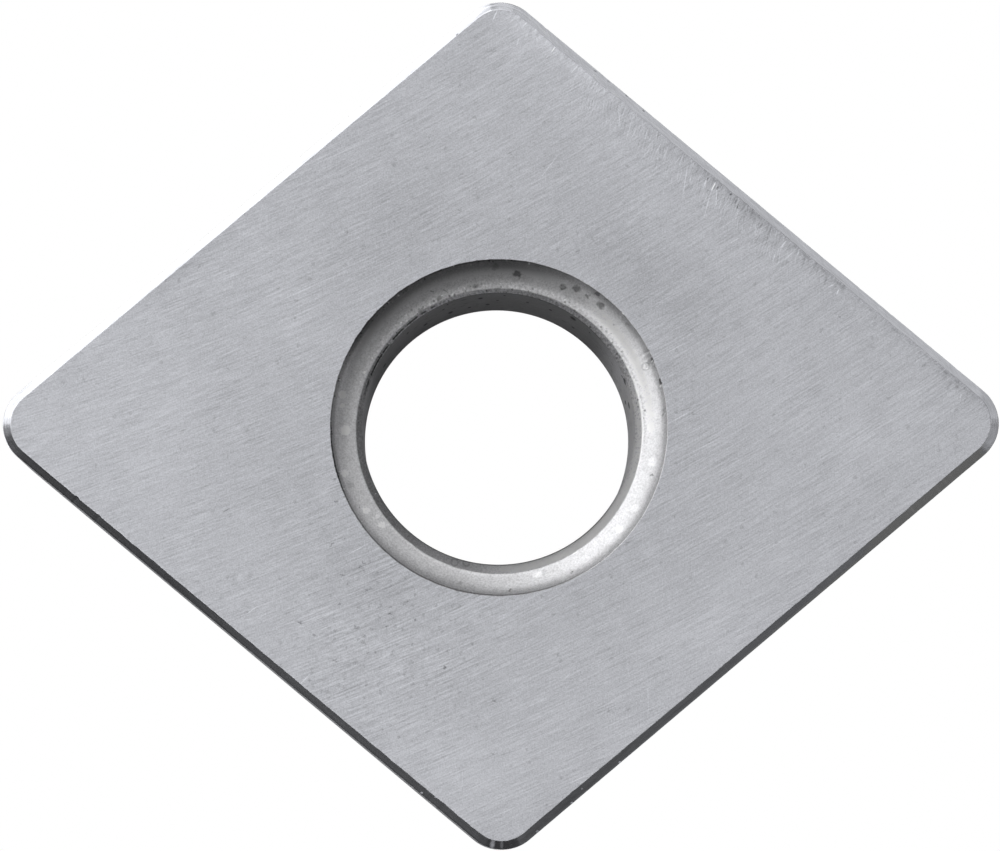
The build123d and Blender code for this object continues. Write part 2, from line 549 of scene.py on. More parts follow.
# ---------------------------------------------------------------------------
# materials
# ---------------------------------------------------------------------------
class Net:
    """A short way to write a node tree."""

    def __init__(self, name):
        self.mat = bpy.data.materials.new(name)
        self.mat.use_nodes = True
        self.t = self.mat.node_tree
        self.t.nodes.clear()
        self.count = 0

    def node(self, kind, **props):
        n = self.t.nodes.new(kind)
        n.location = (220 * (self.count // 12), -170 * (self.count % 12))
        self.count += 1
        for k, v in props.items():
            setattr(n, k, v)
        return n

    def put(self, socket, value):
        if isinstance(value, bpy.types.NodeSocket):
            self.t.links.new(value, socket)
        else:
            socket.default_value = value

    def math(self, op, a, b=None, c=None, clamp=False):
        n = self.node("ShaderNodeMath", operation=op, use_clamp=clamp)
        self.put(n.inputs[0], a)
        if b is not None:
            self.put(n.inputs[1], b)
        if c is not None:
            self.put(n.inputs[2], c)
        return n.outputs[0]

    def add(self, *terms):
        out = terms[0]
        for t in terms[1:]:
            out = self.math("ADD", out, t)
        return out

    def mul(self, *terms):
        out = terms[0]
        for t in terms[1:]:
            out = self.math("MULTIPLY", out, t)
        return out

    def vmath(self, op, a, b=None):
        n = self.node("ShaderNodeVectorMath", operation=op)
        self.put(n.inputs[0], a)
        if b is not None:
            self.put(n.inputs[1], b)
        return n.outputs[1] if op in ("DISTANCE", "LENGTH", "DOT_PRODUCT") else n.outputs[0]

    def uv(self, name):
        return self.node("ShaderNodeUVMap", uv_map=name).outputs[0]

    def split(self, v):
        n = self.node("ShaderNodeSeparateXYZ")
        self.put(n.inputs[0], v)
        return n.outputs

    def join(self, x, y, z=0.0):
        n = self.node("ShaderNodeCombineXYZ")
        self.put(n.inputs[0], x)
        self.put(n.inputs[1], y)
        self.put(n.inputs[2], z)
        return n.outputs[0]

    def noise(self, vector, scale=1.0, detail=0.0, rough=0.5, distortion=0.0, flat=False):
        n = self.node("ShaderNodeTexNoise", noise_dimensions="2D" if flat else "3D")
        self.put(n.inputs["Vector"], vector)
        n.inputs["Scale"].default_value = scale
        n.inputs["Detail"].default_value = detail
        n.inputs["Roughness"].default_value = rough
        n.inputs["Distortion"].default_value = distortion
        return n.outputs[0]

    def swing(self, vector, gain, **k):
        """Noise centred on zero, times gain."""
        return self.math("MULTIPLY_ADD", self.noise(vector, **k), gain, -0.5 * gain)

    def voronoi(self, vector, scale, feature="F1", random=1.0, flat=False):
        n = self.node("ShaderNodeTexVoronoi", voronoi_dimensions="2D" if flat else "3D", feature=feature)
        self.put(n.inputs["Vector"], vector)
        n.inputs["Scale"].default_value = scale
        n.inputs["Randomness"].default_value = random
        return n.outputs

    def ramp(self, x, a, b, c=0.0, d=1.0, smooth=True):
        n = self.node("ShaderNodeMapRange",
                      interpolation_type="SMOOTHSTEP" if smooth else "LINEAR", clamp=True)
        self.put(n.inputs[0], x)
        for i, v in enumerate((a, b, c, d)):
            self.put(n.inputs[1 + i], v)
        return n.outputs[0]

    def spot(self, plan, x, y, inner, outer):
        """1 within inner of (x, y), 0 beyond outer, in mm."""
        return self.ramp(self.vmath("DISTANCE", plan, (x, y, 0.0)), inner, outer, 1.0, 0.0)

    def strokes(self, vector, angle, cell, half_len, half_wide, jitter, density, seed):
        """Thin straight marks scattered over the surface, one to a cell at most.
        Lengths in the vector's units; angle and jitter in degrees."""
        if angle:
            n = self.node("ShaderNodeVectorRotate", rotation_type="Z_AXIS")
            self.put(n.inputs["Vector"], vector)
            n.inputs["Angle"].default_value = -rad(angle)
            vector = n.outputs[0]
        q = self.vmath("MULTIPLY", vector, (1 / cell[0], 1 / cell[1], 0.0))
        q = self.vmath("ADD", q, (seed * 7.31, seed * 3.77, 0.0))
        cellid = self.vmath("FLOOR", q)
        local = self.vmath("SUBTRACT", q, cellid)
        wn = self.node("ShaderNodeTexWhiteNoise", noise_dimensions="2D")
        self.put(wn.inputs["Vector"], self.vmath("ADD", cellid, (0.5, 0.5, seed + 0.5)))
        rx, ry, rz = self.split(wn.outputs["Color"])
        lx, ly, _ = self.split(local)
        slack_x = max(0.0, cell[0] - 2 * half_len)
        slope = math.tan(rad(jitter))
        slack_y = max(0.0, cell[1] - 2 * half_len * slope - 2 * half_wide)
        x = self.math("MULTIPLY_ADD", self.math("ADD", lx, -0.5), cell[0],
                      self.math("MULTIPLY_ADD", rx, -slack_x, 0.5 * slack_x))
        y = self.math("MULTIPLY_ADD", self.math("ADD", ly, -0.5), cell[1],
                      self.math("MULTIPLY_ADD", ry, -slack_y, 0.5 * slack_y))
        if slope:
            y = self.math("SUBTRACT", y, self.mul(x, self.math("MULTIPLY_ADD", rz, 2 * slope, -slope)))
        across = self.ramp(self.math("ABSOLUTE", y), half_wide * 0.3, half_wide, 1.0, 0.0)
        along = self.ramp(self.math("ABSOLUTE", x), half_len * 0.6, half_len, 1.0, 0.0)
        there = self.ramp(wn.outputs["Value"], 1.0 - density, 1.0 - density * 0.3, 0.0, 1.0, smooth=False)
        return self.mul(across, along, there)

    def marks(self, vector, items, hard=1.0):
        """Sum of soft dabs: (x, y, half length, half width, turn in degrees, weight)."""
        total = None
        for x, y, long, wide, turn, weight in items:
            m = self.node("ShaderNodeMapping", vector_type="TEXTURE")
            self.put(m.inputs["Vector"], vector)
            m.inputs["Location"].default_value = (x, y, 0.0)
            m.inputs["Rotation"].default_value = (0.0, 0.0, rad(turn))
            m.inputs["Scale"].default_value = (long, wide, 1.0)
            t = self.node("ShaderNodeTexGradient", gradient_type="SPHERICAL")
            self.put(t.inputs[0], m.outputs[0])
            f = t.outputs[1]
            if hard != 1.0:
                f = self.math("MULTIPLY", f, hard, clamp=True)
            total = self.math("MULTIPLY_ADD", f, weight, 0.0 if total is None else total)
        return total

    def hairs(self, vector, items):
        """Fine scratches from one point to another: (x0, y0, x1, y1, width, weight)."""
        return self.marks(vector, [
            ((x0 + x1) / 2, (y0 + y1) / 2, 0.55 * math.hypot(x1 - x0, y1 - y0), w,
             math.degrees(math.atan2(y1 - y0, x1 - x0)), g) for x0, y0, x1, y1, w, g in items], 1.6)

    def pits(self, vector, scale, radius, density, weight, seed, flat=False):
        """Small round spots, one at most to a cell; radius in the vector's units."""
        q = self.vmath("ADD", vector, (seed * 3.1, seed * 1.7, seed * 0.9))
        n = self.voronoi(q, scale, flat=flat)
        rx, ry, _ = self.split(n[1])
        size = self.math("MULTIPLY_ADD", ry, 0.65 * radius * scale, 0.35 * radius * scale)
        f = self.math("DIVIDE", n[0], size)
        f = self.ramp(f, 0.35, 1.0, 1.0, 0.0)
        there = self.math("LESS_THAN", rx, density)
        return self.mul(f, there, weight)

    def warped(self, vector, scale, amount):
        """The vector, pushed about by noise, so that spots get ragged outlines."""
        n = self.node("ShaderNodeTexNoise", noise_dimensions="2D")
        self.put(n.inputs["Vector"], vector)
        n.inputs["Scale"].default_value = scale
        n.inputs["Detail"].default_value = 0.0
        m = self.node("ShaderNodeVectorMath", operation="MULTIPLY_ADD")
        self.put(m.inputs[0], self.vmath("SUBTRACT", n.outputs["Color"], (0.5, 0.5, 0.5)))
        m.inputs[1].default_value = (2 * amount, 2 * amount, 0.0)
        self.put(m.inputs[2], vector)
        return m.outputs[0]

    def side(self, plan, angle):
        """Distance outwards along a direction in the plan, mm."""
        a = rad(angle)
        return self.vmath("DOT_PRODUCT", plan, (math.cos(a), math.sin(a), 0.0))

    def metal(self, colour, rough, height=None, bump=1.0, depth=1e-6, **consts):
        p = self.node("ShaderNodeBsdfPrincipled")
        p.inputs["Metallic"].default_value = 1.0
        self.put(p.inputs["Base Color"], colour)
        self.put(p.inputs["Roughness"], rough)
        for k, v in consts.items():
            p.inputs[k].default_value = v
        if height is not None:
            b = self.node("ShaderNodeBump")
            b.inputs["Strength"].default_value = bump
            b.inputs["Distance"].default_value = depth
            self.put(b.inputs["Height"], height)
            self.put(p.inputs["Normal"], b.outputs[0])
        out = self.node("ShaderNodeOutputMaterial")
        self.put(out.inputs[0], p.outputs[0])
        return self.mat

    def tint(self, value, rgb):
        """A colour: value times rgb."""
        n = self.node("ShaderNodeVectorMath", operation="SCALE")
        n.inputs[0].default_value = rgb
        self.put(n.inputs[3], value)
        return n.outputs[0]


TINT = (0.985, 1.0, 1.060)


# scratches and dabs on the top face, mm in the plan
FACE_HAIRS = [
    # a few long light scratches that cross the grinding
    (-4.90, -3.66, -4.56, -3.40, 0.011, 0.13), (-4.66, -3.72, -4.44, -3.58, 0.010, 0.08),
    (-3.90, -5.02, -3.56, -4.66, 0.011, 0.11), (-6.54, -2.54, -6.34, -2.32, 0.010, 0.09),
    (-5.28, -1.67, -5.13, -1.59, 0.013, -0.17), (-6.12, -0.15, -5.94, -0.08, 0.013, -0.12),
    (3.06, 1.30, 3.55, 1.56, 0.010, 0.11), (3.22, 0.03, 3.62, 0.25, 0.012, 0.13),
    (3.30, 0.20, 3.80, 0.38, 0.011, -0.10), (3.10, 0.86, 3.34, 0.97, 0.009, 0.10),
    (3.50, -0.60, 4.10, -0.30, 0.010, 0.07), (2.60, 2.10, 3.60, 2.62, 0.012, 0.05),
    (0.70, 4.60, 1.15, 5.20, 0.011, 0.09), (0.30, 4.10, 0.62, 4.28, 0.010, 0.08),
    (-1.60, -3.62, -1.10, -3.42, 0.011, 0.10), (-2.66, -2.90, -2.30, -2.72, 0.010, 0.10),
    (-2.98, -2.52, -2.52, -2.26, 0.010, 0.12), (-3.10, -3.30, -2.60, -3.12, 0.010, 0.07),
    (0.20, -4.70, 1.30, -4.18, 0.012, 0.06), (1.40, -5.60, 2.30, -5.10, 0.012, -0.05),
    (5.60, 0.80, 6.50, 1.36, 0.012, 0.05), (5.00, -2.10, 5.90, -1.56, 0.012, -0.05),
    (-2.10, 4.10, -1.20, 4.52, 0.012, 0.06), (-4.30, 1.90, -3.30, 2.32, 0.012, 0.05),
    # and more near the lower corner, some of them steep
    (1.10, -4.92, 1.45, -4.56, 0.010, 0.08), (2.75, -4.82, 2.77, -5.60, 0.009, 0.07),
    (0.98, -5.56, 1.95, -5.18, 0.010, 0.06), (1.45, -6.28, 2.35, -5.74, 0.010, 0.06),
    (1.20, -6.84, 1.85, -6.50, 0.010, 0.07), (-1.70, -6.58, -1.28, -6.96, 0.010, 0.07),
    (-0.94, -6.12, -0.78, -7.05, 0.009, 0.04), (-0.64, -6.92, -0.20, -6.70, 0.010, 0.08),
    (0.42, -4.30, 0.48, -4.10, 0.009, 0.08), (2.35, -4.35, 2.42, -4.95, 0.009, 0.05),
    (-2.02, -5.20, -0.05, -4.18, 0.012, -0.07), (-0.38, -6.38, 0.80, -6.00, 0.012, -0.06),
    (0.60, -5.35, 1.90, -4.72, 0.012, -0.05),
]
FACE_PITS = [
    (-3.16, -4.47, 0.050, 0.032, 25, -0.30), (-3.82, -3.75, 0.055, 0.030, -35, -0.29),
    (4.06, 4.49, 0.050, 0.025, 60, -0.24), (-2.12, -3.59, 0.045, 0.034, 10, -0.26),
    (-1.70, -4.16, 0.046, 0.034, 30, -0.25), (-2.51, -3.13, 0.068, 0.044, 20, -0.22),
    (-1.84, -4.74, 0.046, 0.032, 80, -0.24), (-3.63, -4.85, 0.040, 0.030, 0, -0.24),
    (-1.63, -3.70, 0.048, 0.030, -20, -0.23), (-2.76, -3.85, 0.052, 0.030, 30, -0.22),
    (-3.21, -2.28, 0.060, 0.030, 25, -0.22), (-0.14, -5.25, 0.044, 0.030, 0, -0.20),
    (-2.06, -4.32, 0.060, 0.044, 40, -0.19), (-3.54, -4.00, 0.046, 0.028, 15, -0.20),
    (-2.61, -2.62, 0.042, 0.028, 60, -0.21), (-2.59, -4.02, 0.044, 0.028, -30, -0.19),
    (-3.01, -2.87, 0.058, 0.028, 20, -0.19), (-2.67, -2.70, 0.040, 0.026, 70, -0.19),
    (-2.18, -3.85, 0.040, 0.028, 0, -0.19), (-3.06, -3.40, 0.044, 0.028, 45, -0.19),
    (0.98, -3.61, 0.040, 0.026, 0, -0.18), (-1.08, -4.61, 0.044, 0.028, 30, -0.18),
    (-3.63, -3.24, 0.048, 0.026, 20, -0.18), (-3.12, -1.47, 0.040, 0.034, 0, -0.20),
    (-1.78, -3.36, 0.060, 0.040, 10, -0.16), (-0.55, -4.16, 0.042, 0.026, 20, -0.18),
    (-0.80, -5.08, 0.042, 0.028, 60, -0.17), (1.05, -4.37, 0.040, 0.026, 0, -0.17),
    (3.93, 4.43, 0.048, 0.022, 65, -0.20), (-1.95, -5.93, 0.040, 0.028, 0, -0.17),
    (-4.80, -3.56, 0.034, 0.024, 80, -0.17), (-0.18, -6.25, 0.040, 0.026, 0, -0.16),
    (4.51, 4.11, 0.050, 0.022, 60, -0.18), (-3.08, -4.94, 0.050, 0.030, 20, -0.16),
    (-3.14, -1.06, 0.044, 0.034, 0, -0.17), (-3.34, -2.00, 0.050, 0.026, 30, -0.13),
    # two blurred upright marks and a pale cluster near the lower left side
    (-5.06, -2.92, 0.190, 0.055, 78, -0.075), (-4.76, -2.88, 0.170, 0.050, 82, -0.070),
    (-4.92, -3.10, 0.100, 0.060, 10, -0.050), (-4.94, -2.92, 0.120, 0.070, 85, 0.050),
    (-5.30, -3.30, 0.090, 0.060, 60, -0.060),
]
FACE_CLOUDS = [
    # broad faint differences of tone: (x, y, half length, half width, turn, weight)
    (-7.4, 0.1, 3.0, 2.6, 25, 0.060), (4.3, 2.6, 1.0, 1.6, -20, -0.030),
    (-3.1, 4.5, 0.9, 0.7, 40, -0.055), (4.9, 3.7, 1.1, 0.6, -40, -0.060), (6.1, 2.6, 1.0, 0.8, -40, -0.045),
    (8.3, 0.8, 0.6, 0.5, 0, -0.050), (-8.7, -0.1, 0.6, 0.9, 0, 0.050), (-4.2, 1.8, 1.1, 0.8, 0, 0.045),
    (2.7, -3.0, 0.9, 0.7, 0, 0.045), (-6.0, 3.05, 2.0, 0.30, 40, -0.080), (-3.9, -0.9, 1.3, 1.3, 25, -0.045),
    (2.7, 3.0, 1.9, 1.2, -45, -0.085), (-2.0, 3.9, 2.3, 1.2, 35, -0.085),
    (-2.5, -2.9, 1.6, 1.0, -45, -0.100), (-5.2, -0.6, 1.4, 1.6, 0, -0.050), (0.4, 7.4, 1.1, 0.8, -35, 0.110),
    (1.6, 6.1, 1.9, 1.0, -40, 0.075), (6.6, -0.2, 2.4, 1.3, 0, 0.055),
    (3.9, -4.0, 1.8, 1.1, 45, 0.075), (-0.8, -6.5, 2.2, 1.2, 0, 0.065),
]
# light wisps that run off the upper right edge: along it from the top nose and in from
# it, mm; the first list is from the dressing of that edge
EDGE_HAIRS = [
    (0.04, 0.32, 0.11, 0.57, 0.014, 0.22), (0.69, 0.46, 0.78, 0.67, 0.012, 0.14),
    (1.34, 0.12, 1.35, 0.33, 0.014, 0.28), (1.35, 0.33, 1.34, 0.56, 0.012, 0.10),
    (1.90, 0.12, 1.89, 0.43, 0.012, 0.14), (0.94, 0.25, 1.03, 0.34, 0.012, 0.16),
    (0.63, 0.14, 0.62, 0.31, 0.012, 0.12), (0.40, 0.16, 0.38, 0.40, 0.014, 0.08),
    (3.07, 0.33, 3.26, 0.59, 0.012, 0.13), (3.33, 0.26, 3.55, 0.76, 0.011, 0.10),
    (3.98, 0.38, 3.96, 0.92, 0.013, 0.08), (4.20, 0.25, 4.30, 0.55, 0.012, 0.14),
    (4.06, 0.28, 4.11, 0.52, 0.011, 0.10), (5.13, 0.20, 5.24, 0.48, 0.012, 0.18),
    (5.33, 0.19, 5.38, 0.40, 0.015, 0.40), (5.38, 0.40, 5.61, 0.90, 0.012, 0.13),
    (5.35, 0.19, 5.65, 0.58, 0.010, 0.14), (4.68, 0.24, 5.08, 0.90, 0.011, 0.13),
    (4.90, 0.40, 4.96, 0.55, 0.011, 0.12), (5.82, 0.29, 5.79, 0.48, 0.011, 0.10),
    (7.07, 0.20, 7.08, 0.39, 0.015, 0.26), (7.06, 0.49, 7.14, 0.71, 0.012, 0.12),
    (7.32, 0.23, 7.28, 0.52, 0.012, 0.12), (7.39, 0.19, 7.42, 0.32, 0.014, 0.14),
    (8.42, 0.25, 8.47, 0.40, 0.013, 0.24), (6.37, 0.71, 6.28, 0.94, 0.012, 0.12),
    (8.30, 0.26, 8.24, 0.39, 0.012, 0.12), (6.64, 0.52, 6.56, 0.68, 0.012, -0.22),
    (6.62, 0.56, 6.58, 0.64, 0.010, 0.16), (10.45, 0.28, 10.43, 0.51, 0.012, 0.07),
    (11.45, 0.28, 11.58, 0.49, 0.011, 0.10), (11.89, 0.24, 11.86, 0.36, 0.012, 0.08),
    (5.42, 0.22, 5.44, 0.32, 0.020, -0.45), (5.70, 0.17, 5.70, 0.24, 0.020, -0.35),
    (5.17, 0.22, 5.18, 0.30, 0.018, -0.28), (4.92, 0.22, 4.93, 0.33, 0.018, -0.20),
    (5.86, 0.20, 5.87, 0.32, 0.018, -0.25), (6.05, 0.18, 6.05, 0.36, 0.018, -0.22),
    (3.95, 0.16, 3.92, 0.24, 0.020, -0.16), (6.52, 0.24, 6.53, 0.38, 0.016, -0.24),
]


def inside(x, y, zone):
    """Whether a mark belongs to that zone of the top face."""
    strip = x * math.cos(rad(50)) + y * math.sin(rad(50)) > APOTHEM - 1.05
    pitted = math.hypot(x + 2.4, y + 3.6) < 3.9
    return {"strip": strip, "pitted": pitted, "plain": not (strip or pitted)}[zone]


def ground_face(name, base, seed, zone):
    """A ground face. zone: plain, pitted or strip of the top face, or seat."""
    g = Net(name)
    flow = g.uv("Flow")
    plan = g.uv("Plan")
    u, v, _ = g.split(flow)

    def lines(fu, fv, gain, z, lean=0.0):
        vv = g.math("MULTIPLY_ADD", u, lean, v) if lean else v
        vec = g.join(g.math("MULTIPLY_ADD", u, fu, 7.31 * z + 3.7 * seed),
                     g.math("MULTIPLY_ADD", vv, fv, 5.17 * z + 1.9 * seed))
        return g.swing(vec, gain, flat=True)

    sharp = g.add(lines(1.4, 36.0, 0.22, 0.1), lines(3.8, 31.0, 0.15, 3.3, 0.04))
    fine = g.add(sharp, lines(1.1, 23.0, 0.105, 5.7, -0.03), lines(0.7, 9.5, 0.065, 9.1, 0.02),
                 lines(0.3, 3.2, 0.034, 13.0))
    # the wheel cut more sharply in some patches than in others
    fine = g.mul(fine, g.math("MULTIPLY_ADD", g.noise(plan, scale=0.9, detail=1.0, flat=True), 1.1, 0.42))
    light = g.strokes(flow, 0.0, (0.62, 0.060), 0.25, 0.011, 3.0, 0.45, seed + 1)
    dark = g.strokes(flow, 0.0, (0.55, 0.055), 0.22, 0.011, 3.5, 0.45, seed + 2)
    cross = g.strokes(flow, 17.0, (1.3, 0.22), 0.45, 0.010, 8.0, 0.30, seed + 3)
    grain = g.add(g.swing(plan, 0.33, scale=38.0, flat=True), g.swing(plan, 0.13, scale=15.0, flat=True))
    cloud = g.add(g.swing(plan, 0.07, scale=0.45, detail=1.0, flat=True),
                  g.swing(plan, 0.075, scale=1.6, detail=1.0, flat=True))
    marks = g.add(g.mul(light, 0.080), g.mul(dark, -0.105), g.mul(cross, 0.055))
    rag = g.warped(plan, 22.0, 0.035)
    worn = g.pits(rag, 3.2, 0.055, 0.30, -0.16, seed + 5, flat=True)
    if zone != "seat":
        h = [m for m in FACE_HAIRS if inside((m[0] + m[2]) / 2, (m[1] + m[3]) / 2, zone)]
        p = [m for m in FACE_PITS if inside(m[0], m[1], zone)]
        if h:
            marks = g.add(marks, g.mul(g.hairs(plan, [m[:4] + (1.25 * m[4], m[5]) for m in h]), 2.3))
        if p:
            worn = g.add(worn, g.mul(g.marks(rag, p, 1.3), 1.75))
        cloud = g.add(cloud, g.marks(plan, FACE_CLOUDS),
                      g.ramp(g.vmath("LENGTH", plan), 3.2, 5.6, -0.046, 0.0))
    if zone == "pitted":
        # pits crowd together below the hole and to its left
        crowd = g.ramp(g.vmath("DISTANCE", plan, (-2.1, -4.1, 0.0)), 0.8, 2.8, 1.0, 0.0)
        worn = g.add(worn, g.mul(g.pits(rag, 4.6, 0.050, 0.75, -0.20, seed + 8, flat=True), crowd),
                     g.mul(g.add(g.swing(plan, 0.12, scale=7.0, detail=1.0, flat=True), g.mul(fine, 0.45)), crowd))
    if zone == "strip":
        # the dressed upper right edge: along it (a) and in from it (d)
        a = g.math("ADD", g.vmath("DOT_PRODUCT", plan, (0.76604, -0.64279, 0.0)), 5.157)
        d = g.math("SUBTRACT", APOTHEM, g.side(plan, 50.0))
        ad = g.join(a, d)
        steep = g.swing(g.join(g.math("MULTIPLY_ADD", d, -3.5, g.mul(a, 13.0)), g.mul(d, 3.0)),
                        1.0, detail=1.0, flat=True)
        d2 = g.math("MULTIPLY_ADD", steep, 0.35, d)
        pale = g.mul(g.ramp(d2, 0.18, 0.50, 1.0, 0.0), g.ramp(a, -0.1, 0.3), g.ramp(a, 1.9, 3.5, 1.0, 0.0),
                     g.math("MULTIPLY_ADD", steep, 0.70, 0.16))
        shade = g.mul(g.ramp(d2, 0.19, 0.44, 1.0, 0.0),
                      g.add(g.mul(g.ramp(a, 3.9, 5.2), g.ramp(a, 7.4, 9.4, 1.0, 0.35), g.ramp(a, 11.8, 12.5, 1.0, 0.0)),
                            g.mul(g.ramp(a, 10.4, 11.2), 0.40)),
                      g.math("MULTIPLY_ADD", g.math("ABSOLUTE", steep), -0.80, -0.085))
        seam = g.mul(g.ramp(g.math("ABSOLUTE", g.math("ADD", d, -0.195)), 0.008, 0.035, 1.0, 0.0),
                     g.ramp(a, 4.6, 5.4), g.ramp(a, 11.6, 12.3, 1.0, 0.0),
                     g.ramp(g.noise(g.mul(a, 2.6), detail=1.0, flat=True), 0.46, 0.62), -0.15)
        across = g.mul(g.ramp(a, 1.6, 2.6), g.ramp(a, 6.9, 7.9, 1.0, 0.15), g.ramp(d, 0.45, 1.00, 1.0, 0.0),
                       g.ramp(d, 0.15, 0.19))
        dressed = g.mul(g.add(g.mul(g.strokes(ad, 62.0, (0.34, 0.050), 0.13, 0.010, 9.0, 0.6, 21), 0.23),
                              g.mul(g.strokes(ad, 80.0, (0.40, 0.075), 0.15, 0.010, 10.0, 0.5, 22), 0.20),
                              g.mul(g.strokes(ad, 68.0, (0.26, 0.060), 0.10, 0.012, 12.0, 0.6, 23), -0.20)), across)
        marks = g.add(marks, pale, shade, seam, dressed,
                      g.hairs(ad, [(p[0], p[1], p[2], p[3], 1.25 * p[4], (2.2 if p[5] > 0 else 1.1) * p[5])
                                   for p in EDGE_HAIRS]))
    level = g.add(1.0, fine, grain, cloud, marks, worn)
    rough = g.math("MULTIPLY_ADD", sharp, 0.25, 0.33)
    return g.metal(g.tint(g.mul(level, base), TINT), rough, sharp, 0.6, 3e-6)


# small marks on the land: (x, y, half length, half width, turn, weight)
LAND_SPOTS = [
    (1.806, 6.724, 0.050, 0.020, -40, -0.40), (2.055, 6.528, 0.045, 0.020, -40, -0.30),
    (2.400, 6.253, 0.038, 0.018, -40, -0.45), (2.720, 5.963, 0.038, 0.018, -40, -0.45),
    (0.860, 7.330, 0.120, 0.030, -35, -0.14), (1.990, 6.350, 0.100, 0.040, -60, -0.16),
    (-0.814, 7.416, 0.038, 0.030, 40, -0.62),
]
# places where the land is frosted: the polish is broken and it scatters more light
LAND_FROST = [(-0.184, -7.935, 0.130, 0.062, 80, 0.33), (-0.010, -7.950, 0.120, 0.044, 90, 0.20),
              (0.664, -7.700, 0.034, 0.026, 0, 1.20), (2.222, -6.398, 0.030, 0.022, 0, 1.20),
              (1.314, -7.163, 0.028, 0.020, 0, 1.20), (1.507, -6.900, 0.026, 0.022, 0, 0.80),
              (-1.520, -6.970, 0.028, 0.022, 0, 0.90), (-1.250, -7.045, 0.030, 0.022, 0, 1.00)]


def land(name, base):
    g = Net(name)
    flow = g.uv("Flow")
    plan = g.uv("Plan")
    u, v, _ = g.split(flow)
    slant = g.math("MULTIPLY_ADD", v, 1.6, u)
    streak = g.add(g.swing(g.join(g.mul(u, 0.9), g.mul(v, 34.0)), 0.30, detail=1.0, flat=True),
                   g.swing(g.join(g.math("MULTIPLY_ADD", u, 4.5, 31.0), g.mul(v, 14.0)), 0.18, detail=1.0, flat=True))
    tone = g.add(g.swing(g.join(g.mul(slant, 16.0), g.math("MULTIPLY_ADD", v, 6.0, 17.0)), 0.16, detail=1.0, flat=True),
                 g.swing(g.join(g.mul(u, 0.7), 55.0), 0.10, detail=1.0, flat=True))
    # painted light and shade: the land is lighter or darker side by side, with gradients along some sides
    x = g.split(plan)[0]
    a = g.math("ADD", g.vmath("DOT_PRODUCT", plan, (0.76604, -0.64279, 0.0)), 5.157)
    upper_right_light = g.mul(g.ramp(g.side(plan, 50.0), 5.6, 5.9), g.ramp(a, 0.2, 0.7), g.ramp(a, 1.5, 7.0, 0.085, 0.04))
    lower_right_light_shade = g.mul(g.ramp(g.side(plan, 310.0), 5.6, 5.9), g.ramp(x, 0.2, 0.5), g.ramp(x, 9.0, 9.25, 1.0, 0.0),
                        g.add(g.ramp(x, 0.0, 5.6, -0.30, 0.0, smooth=False), g.ramp(x, 5.6, 7.8, 0.0, 0.34, smooth=False)))
    lower_left_shade = g.mul(g.ramp(g.side(plan, 230.0), 5.6, 5.9), g.ramp(x, -9.25, -9.0), g.ramp(x, -0.5, -0.2, 1.0, 0.0),
                       g.ramp(x, -7.0, -3.6, -0.30, -0.02))
    upper_left_light = g.mul(g.ramp(g.side(plan, 130.0), 6.22, 6.29), g.ramp(x, -9.0, -8.6), g.ramp(x, -0.40, -0.18, 1.0, 0.0), 0.30)
    # painted shade on the right nose, its upper half
    y = g.split(plan)[1]
    right_nose_shade = g.mul(g.ramp(x, 9.02, 9.16), g.ramp(y, 0.05, 0.35), -0.20)
    # grinding streaks thin out over the top nose
    wisp = g.mul(g.ramp(x, -0.52, -0.26), g.ramp(x, -0.14, 0.02, 1.0, 0.0), g.ramp(y, 7.2, 7.4),
                 g.math("MULTIPLY_ADD", g.noise(g.join(g.mul(u, 0.9), g.math("MULTIPLY_ADD", v, 24.0, 3.0)), detail=1.0, flat=True),
                        1.2, -0.70))
    level = g.add(1.0, streak, tone, upper_left_light, upper_right_light, lower_right_light_shade, lower_left_shade, right_nose_shade, wisp)
    level = g.math("MAXIMUM", g.mul(level, g.add(1.0, g.marks(plan, LAND_SPOTS, 1.8))), 0.02)
    # the very edge: darker along the lower left, brighter along the lower right
    brink = g.add(g.mul(g.ramp(g.side(plan, 230.0), 6.305, 6.335), g.ramp(x, -0.4, 0.0, 1.0, 0.0), -0.40),
                  g.mul(g.ramp(g.side(plan, 310.0), 6.300, 6.335), g.ramp(x, 0.2, 0.6), 0.25))
    level = g.mul(level, g.add(1.0, brink))
    rough = g.math("MINIMUM", g.add(0.19, g.marks(plan, LAND_FROST, 1.6)), 0.8)
    return g.metal(g.tint(g.mul(level, base), TINT), rough, streak, 0.8, 3e-6)


def flank(name, base):
    g = Net(name)
    flow = g.uv("Flow")
    u, v, _ = g.split(flow)
    lean = g.math("MULTIPLY_ADD", v, 0.12, u)
    fine = g.add(g.swing(g.join(g.mul(lean, 22.0), g.mul(v, 0.6)), 0.30, detail=1.0, flat=True),
                 g.swing(g.join(g.math("MULTIPLY_ADD", lean, 9.0, 71.0), g.mul(v, 0.3)), 0.20, detail=1.0, flat=True))
    level = g.add(1.0, fine, g.swing(flow, 0.12, scale=0.8, detail=2.0, flat=True),
                  g.swing(flow, 0.14, scale=30.0, flat=True))
    return g.metal(g.tint(g.mul(level, base), TINT), 0.30, fine, 0.4, 1.5e-6)


